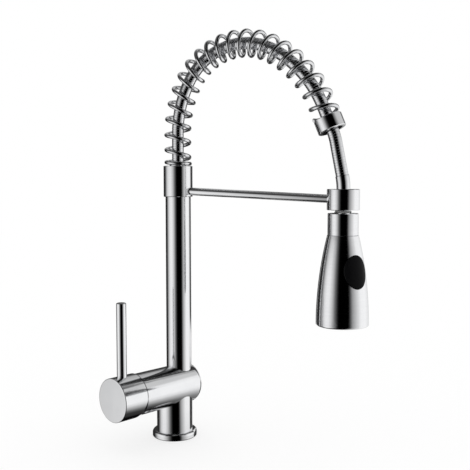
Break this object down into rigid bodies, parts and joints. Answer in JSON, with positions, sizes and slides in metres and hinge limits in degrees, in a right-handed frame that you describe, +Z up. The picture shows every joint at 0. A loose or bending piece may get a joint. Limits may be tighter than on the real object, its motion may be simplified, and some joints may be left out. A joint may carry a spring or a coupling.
{
  "type": "pull down kitchen faucet",
  "caption": "Polished kitchen faucet with a side lever, a tall swivelling riser, a spring arch over a ribbed hose, a docking arm and a pull down spray head with a button.",
  "frame": {"origin": "centre of the underside of the base, where it stands on the deck", "axes": "+Z up along the pedestal, -Y towards the handle along the barrel, +X to the side that the spout stands over at rest, 18.4 degrees short of it"},
  "size_m": [0.2311, 0.1798, 0.4432],
  "materials": {
    "chrome": "polished",
    "hose_metal": "polished ribs",
    "brass": "machined",
    "steel": "plain",
    "ceramic": "lapped",
    "black_button": "satin",
    "grey_plastic": "satin",
    "white_plastic": "moulded",
    "rubber": "matte"
  },
  "bodies": {
    "mixer_body": {"base_ring": "chrome", "base_seal": "rubber", "pedestal": "chrome", "body_casting": "chrome", "cartridge_shell": "white_plastic", "cartridge_seals": "rubber", "fixed_disc": "ceramic", "cartridge_lock_nut": "brass", "dome_ring": "chrome", "riser_slip_ring": "white_plastic", "riser_stop_screw": "steel"},
    "temperature": {"turn_carrier": "white_plastic", "pivot_pin": "steel"},
    "mixing_disc": {"moving_disc": "ceramic", "disc_carriage": "white_plastic"},
    "lever": {"spindle": "brass", "handle_cap": "chrome", "lever_pin": "chrome", "handle_screw": "steel"},
    "spout": {"riser_foot": "brass", "riser_seals": "rubber", "riser_tube": "chrome", "arm_sleeve": "chrome", "sleeve_screws": "steel", "support_arm": "chrome", "holder_ring": "chrome", "holder_bush": "white_plastic", "hose_nipple": "brass", "spring": "chrome", "hose_in_spring": "hose_metal", "hose_tail": "hose_metal", "spring_end_collar": "chrome"},
    "hose_end": {"hose_ferrule": "chrome", "hose_nut": "chrome", "hose_nut_seal": "rubber", "swivel_clip": "steel"},
    "spray_head": {"head_collar": "chrome", "head_shell": "chrome", "valve_body": "white_plastic", "check_valve": "white_plastic", "button_seal": "rubber", "nozzle_mat": "rubber", "spray_face": "grey_plastic", "aerator": "grey_plastic", "diverter_spring": "steel"},
    "button": {"spray_button": "black_button"},
    "diverter": {"diverter_spool": "brass"}
  },
  "joints": [
    {"name": "spout_swivel", "type": "hinge", "parent": "mixer_body", "child": "spout", "pos_m": [0, 0.0069, 0.066], "axis": [0, 0, 1], "continuous": true},
    {"name": "temperature_turn", "type": "hinge", "parent": "mixer_body", "child": "temperature", "pos_m": [0, -0.04, 0.0568], "axis": [0, -1, 0], "range_deg": [-50, 50]},
    {"name": "flow_lift", "type": "hinge", "parent": "temperature", "child": "lever", "pos_m": [0, -0.04, 0.0568], "axis": [1, 0, 0], "range_deg": [0, 18]},
    {"name": "disc_shift", "type": "slide", "parent": "temperature", "child": "mixing_disc", "axis": [0, 0, 1], "range_m": [0, 0.0028]},
    {"name": "head_pull", "type": "slide", "parent": "spout", "child": "hose_end", "axis": [0, 0, -1], "range_m": [0, 0.11], "stiffness_N_per_m": 40, "springref_m": -0.25, "deforming": ["hose_tail"]},
    {"name": "head_swivel", "type": "hinge", "parent": "hose_end", "child": "spray_head", "pos_m": [0.17981, 0.06672, 0.24], "axis": [0, 0, 1], "continuous": true},
    {"name": "button_press", "type": "slide", "parent": "spray_head", "child": "button", "axis": [-0.9583, 0.2857, 0], "range_m": [0, 0.0018], "stiffness_N_per_m": 900, "springref_m": -0.002},
    {"name": "diverter_shift", "type": "slide", "parent": "spray_head", "child": "diverter", "axis": [0, 0, -1], "range_m": [0, 0.0018], "deforming": ["diverter_spring"]}
  ],
  "couplings": [
    {"joint": "disc_shift", "follows": "flow_lift", "m_per_rad": 0.0088527},
    {"joint": "diverter_shift", "follows": "button_press", "ratio": 1}
  ]
}
